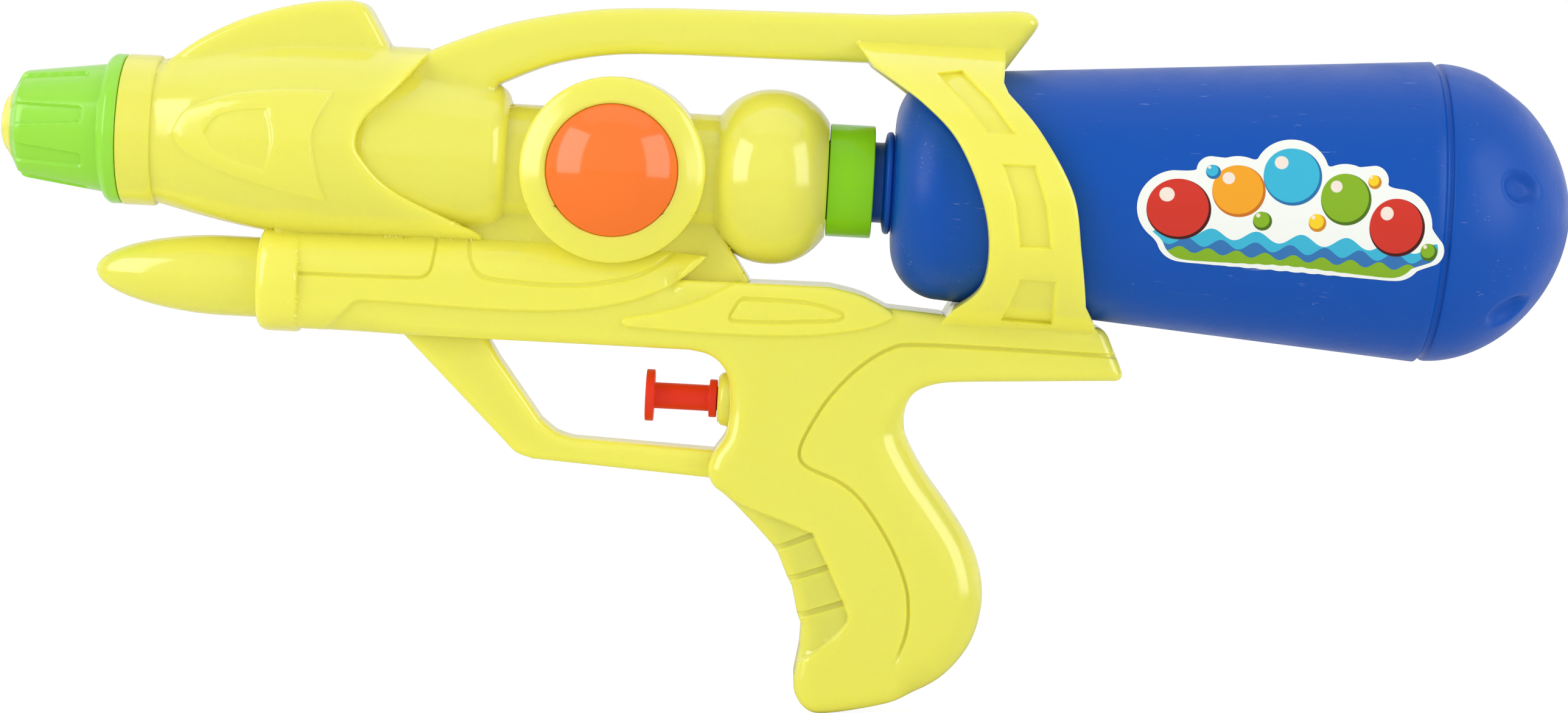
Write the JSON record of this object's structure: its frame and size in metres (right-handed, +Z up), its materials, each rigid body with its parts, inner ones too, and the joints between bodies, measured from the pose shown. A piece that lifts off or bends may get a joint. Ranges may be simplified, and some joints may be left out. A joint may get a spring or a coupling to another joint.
{
  "type": "toy water squirter",
  "caption": "Pistol-shaped toy water squirter: two moulded half shells with a carry handle and guard, a push-trigger pump, a fluted nozzle cap and a screw-in bottle tank behind.",
  "frame": {"origin": "middle of the grip on the plane where the two half shells meet, where a hand holds it", "axes": "+X back from the nozzle to the tank's round end, +Y to the right side when aiming, +Z up"},
  "size_m": [0.4, 0.0764, 0.1807],
  "materials": {
    "shell_yellow": "glossy moulded lemon-yellow plastic",
    "fitting_green": "glossy moulded green plastic",
    "dome_orange": "polished orange plastic",
    "tank_blue": "satin blow-moulded blue plastic with fine scuffs",
    "trigger_red": "moulded red plastic",
    "pump_white": "natural white plastic",
    "hose_clear": "milky clear tube",
    "seal_rubber": "black rubber",
    "steel": "plated steel"
  },
  "bodies": {
    "gun": {"left_shell": "shell_yellow", "right_shell": "shell_yellow", "nozzle_tip": "shell_yellow", "left_dome": "dome_orange", "right_dome": "dome_orange", "tank_collar": "fitting_green", "dip_tube": "hose_clear", "return_spring": "steel", "pump_cylinder": "shell_yellow", "pump_head": "pump_white", "inlet_elbow": "pump_white", "outlet_elbow": "pump_white", "inlet_hose": "hose_clear", "outlet_hose": "hose_clear", "shell_screw_1": "steel", "shell_screw_2": "steel", "shell_screw_3": "steel", "shell_screw_4": "steel", "shell_screw_5": "steel", "shell_screw_6": "steel", "shell_screw_7": "steel"},
    "nozzle_cap": {"nozzle_cap": "fitting_green"},
    "trigger": {"trigger": "trigger_red", "piston_seal": "seal_rubber"},
    "tank_seal": {"tank_seal": "seal_rubber"},
    "tank": {"tank": "tank_blue"},
    "inlet_ball": {"inlet_ball": "pump_white"},
    "outlet_ball": {"outlet_ball": "pump_white"}
  },
  "joints": [
    {"name": "trigger_slide", "type": "slide", "parent": "gun", "child": "trigger", "axis": [1, 0, 0], "range_m": [0, 0.012], "stiffness_N_per_m": 250, "springref_m": -0.01, "deforming": ["return_spring"]},
    {"name": "tank_slide", "type": "slide", "parent": "gun", "child": "tank_seal", "axis": [1, 0, 0], "range_m": [0, 0.0081]},
    {"name": "tank_twist", "type": "hinge", "parent": "tank_seal", "child": "tank", "pos_m": [0, 0, 0.092], "axis": [1, 0, 0], "range_deg": [0, 720]},
    {"name": "nozzle_cap_twist", "type": "hinge", "parent": "gun", "child": "nozzle_cap", "pos_m": [-0.2, 0, 0.0953], "axis": [1, 0, 0], "continuous": true},
    {"name": "inlet_ball_lift", "type": "slide", "parent": "gun", "child": "inlet_ball", "axis": [0, 0, 1], "range_m": [0, 0.0012]},
    {"name": "outlet_ball_lift", "type": "slide", "parent": "gun", "child": "outlet_ball", "axis": [0, 0, 1], "range_m": [0, 0.0012]}
  ],
  "couplings": [
    {"joint": "tank_slide", "follows": "tank_twist", "m_per_rad": 0.00063662}
  ]
}
